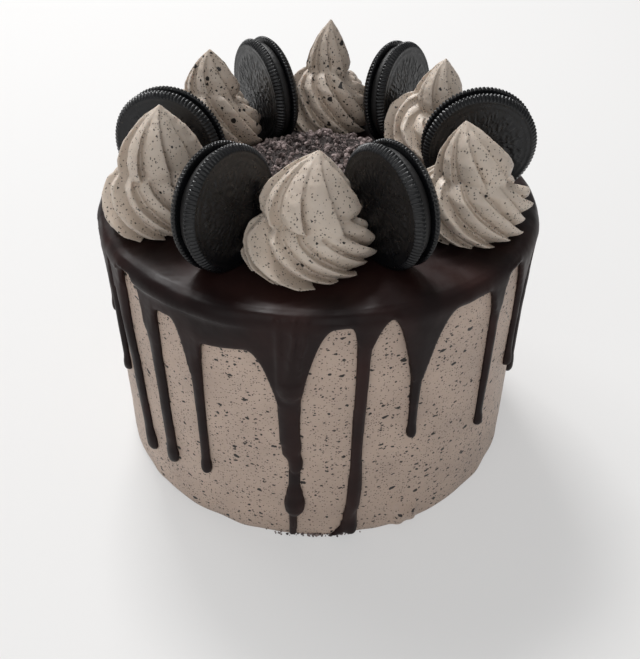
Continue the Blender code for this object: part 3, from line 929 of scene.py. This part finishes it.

# %% [markdown]
# ## Crumbs
# The heap in the middle is cookie beaten to crumbs, from dust to bits the size of a lentil. A heap
# needs only its skin to be real: a rough core fills the inside, and joined crumbs of true size lie on
# it. The core is coloured much darker than the crumbs, as painted shade in the gaps between them.
# Each crumb is an icosphere whose corners are pushed in and out by its own draw. A few rolled
# off, and lie round the heap, and some stuck in a dark line at the cake's foot.

# %% The crumbs' finish
crumb_finish = Finish("cookie_crumb", (0.05, 0.038, 0.035), 0.85)
toned = crumb_finish.between(crumb_finish.noise(crumb_finish.place, 380.0, 3.0), 0.38, 0.62)
crumb_finish.colour(crumb_finish.mix(toned, (0.045, 0.033, 0.031), (0.36, 0.285, 0.275)))
crumb_finish.bump(crumb_finish.noise(crumb_finish.place, 1800.0, 4.0), 0.3 * MM)
# The core's finish is far darker than the crumbs: painted shade that shows in the gaps between them.
crumb_core_painted_shade = Finish("crumb_core_painted_shade", (0.03, 0.022, 0.021), 0.9)
crumb_core_painted_shade.colour(crumb_core_painted_shade.mix(crumb_core_painted_shade.noise(crumb_core_painted_shade.place, 400.0), (0.02, 0.015, 0.014), (0.05, 0.038, 0.036)))
crumb_core_painted_shade.bump(crumb_core_painted_shade.noise(crumb_core_painted_shade.place, 1500.0, 4.0), 0.4 * MM)
print("crumb colours set")


# %% Shape crumbs
def crumb_shape(rounds):
    ball = bmesh.new()
    bmesh.ops.create_icosphere(ball, subdivisions=rounds, radius=1.0)
    points = np.array([v.co[:] for v in ball.verts])
    faces = [[v.index for v in face.verts] for face in ball.faces]
    ball.free()
    return points, faces


def crumb(shape, centre, size, dice):
    """One crumb: a ball with random corners, squashed and turned its own way."""
    points, faces = shape
    rough = dice.uniform(0.62, 1.2, len(points))[:, None]
    squash = dice.uniform(0.6, 1.1, 3)
    spin = np.linalg.qr(dice.normal(size=(3, 3)))[0]
    if np.linalg.det(spin) < 0:
        spin[:, 0] *= -1
    return (points * rough * squash) @ spin * size / 2 + centre, faces


def joined_crumbs(name, crumbs):
    mesh = join_meshes(name, crumbs)
    piece = new_piece(name, mesh, crumb_finish)
    mesh.shade_flat()
    return piece


COARSE, FINE = crumb_shape(2), crumb_shape(1)
print("crumbs of", len(COARSE[1]), "and", len(FINE[1]), "faces")

# %% Heap them in the middle
heap_low, heap_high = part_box("crumb_mound")
HEAP_CENTRE = (heap_low + heap_high) / 2
HEAP_R = (heap_high.x - heap_low.x) / 2 + 6 * MM
HEAP_H = heap_high.z - TOP_Z - 0.8 * MM


def heap_height(x, y):
    """Height of the heap's core over the ganache at a place, in metres."""
    away = np.hypot(x - HEAP_CENTRE.x, y - HEAP_CENTRE.y) / HEAP_R
    spots = np.stack([x, y, 0 * x], -1)
    lumps = 1.8 * wave(spots, 130, 2.0) + 1.7 * wave(spots, 310, 6.0)
    banked = 2.2 * MM * np.clip((y - HEAP_CENTRE.y) / HEAP_R, 0, 1)
    return np.clip(1 - away**5, 0, 1) * (HEAP_H * 0.9 + banked) + lumps * MM * np.clip(1.1 - away, 0, 1)


def lies_free(x, y, size):
    """Whether a loose crumb at this place on the ganache would touch no cookie and no swirl."""
    spot = np.array([x, y, TOP_Z + size / 2])
    for middle, axis, radius, outer, inner in cookies.values():
        along = (spot - middle) @ axis
        across = np.linalg.norm(spot - middle - along * axis)
        if abs(along) < outer + size and across < radius + size:
            return False
    return all(math.hypot(x - foot_x, y - foot_y) > radius + size for foot_x, foot_y, radius in swirl_feet)


core_turns = np.arange(160) * 360 / 160
core_rings = []
for share in np.linspace(0.98, 0.02, 48):
    ring = around_axis(HEAP_R * share, core_turns, TOP_Z)
    ring[:, :2] += (HEAP_CENTRE.x, HEAP_CENTRE.y)
    ring[:, 2] = TOP_Z - 0.3 * MM + heap_height(ring[:, 0], ring[:, 1])
    core_rings.append(ring)
foot_ring = core_rings[0].copy()
foot_ring[:, 2] = TOP_Z - 1.0 * MM
peak = (HEAP_CENTRE.x, HEAP_CENTRE.y, core_rings[-1][:, 2].mean())
core_mesh = ring_mesh("crumb_core", [foot_ring] + core_rings, (HEAP_CENTRE.x, HEAP_CENTRE.y, TOP_Z - 1.0 * MM), peak)
# The core takes the darker finish, the painted shade between the crumbs.
crumb_core = new_piece("crumb_core", core_mesh, crumb_core_painted_shade)
place_in_frame(crumb_core, "crumb", "crumb_mound")

dice = np.random.default_rng(12)
crumbs = []
for shape, number, small, large in ((COARSE, 560, 1.5, 3.8), (FINE, 5200, 0.45, 1.35)):
    reach = HEAP_R * np.sqrt(dice.uniform(0, 1.3, number))
    angle = dice.uniform(0, 2 * math.pi, number)
    x = HEAP_CENTRE.x + reach * np.cos(angle)
    y = HEAP_CENTRE.y + reach * np.sin(angle)
    lift = heap_height(x, y)
    for i in range(number):
        size = (small + (large - small) * dice.uniform() ** 2.2) * MM
        if reach[i] > HEAP_R and not lies_free(x[i], y[i], size):
            continue
        crumbs.append(crumb(shape, (x[i], y[i], TOP_Z + lift[i] + size * 0.2), size, dice))
crumb_heap = joined_crumbs("crumb_heap", crumbs)
place_in_frame(crumb_heap, "crumb", "crumb_mound")

# %% Scatter a few at the foot
crumbs = []
for _ in range(70):
    degrees = dice.normal(-91, 5.5)
    size = (0.5 + 1.2 * dice.uniform() ** 2) * MM
    out = CAKE_R + dice.uniform(-0.3, 0.9) * MM
    spot = around_axis(out, np.array([degrees]), size * 0.42 + dice.uniform(0, 0.8) * MM)[0]
    crumbs.append(crumb(FINE, spot, size, dice))
foot_crumbs = joined_crumbs("foot_crumbs", crumbs)
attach(foot_crumbs, "root")
print("foot crumbs:", len(foot_crumbs.data.polygons), "faces")

# %% [markdown]
# ## The floor
# The cake stands on a wide pale floor. It is a matt white surface that also glows a little for the
# camera and in reflections, so that it reads as white while it still takes the cake's shadow.

# %% Lay the floor
floor_mesh = bpy.data.meshes.new("floor")
REACH = 6.0
floor_mesh.from_pydata([(-REACH, -REACH, 0), (REACH, -REACH, 0), (REACH, REACH, 0), (-REACH, REACH, 0)], [], [(0, 1, 2, 3)])
FLOOR_WHITE = (0.78, 0.775, 0.77)
floor_finish = Finish("pale_floor", FLOOR_WHITE, 0.7)
paths = floor_finish.add("ShaderNodeLightPath")
seen = floor_finish.math("MAXIMUM", paths.outputs["Is Camera Ray"], paths.outputs["Is Glossy Ray"])
seen = floor_finish.math("MAXIMUM", seen, paths.outputs["Is Transmission Ray"])
floor_finish.colour(floor_finish.mix(seen, FLOOR_WHITE, (0.38, 0.375, 0.37)))
floor_finish.wire(floor_finish.math("MULTIPLY", seen, 0.42), floor_finish.shader.inputs["Emission Strength"])
floor_finish.shader.inputs["Emission Color"].default_value = (1, 1, 1, 1)
floor_finish.shader.inputs["Specular IOR Level"].default_value = 0.2
floor = new_piece("floor", floor_mesh, floor_finish)
floor.location.z = -0.1 * MM
print("floor", 2 * REACH, "m across")
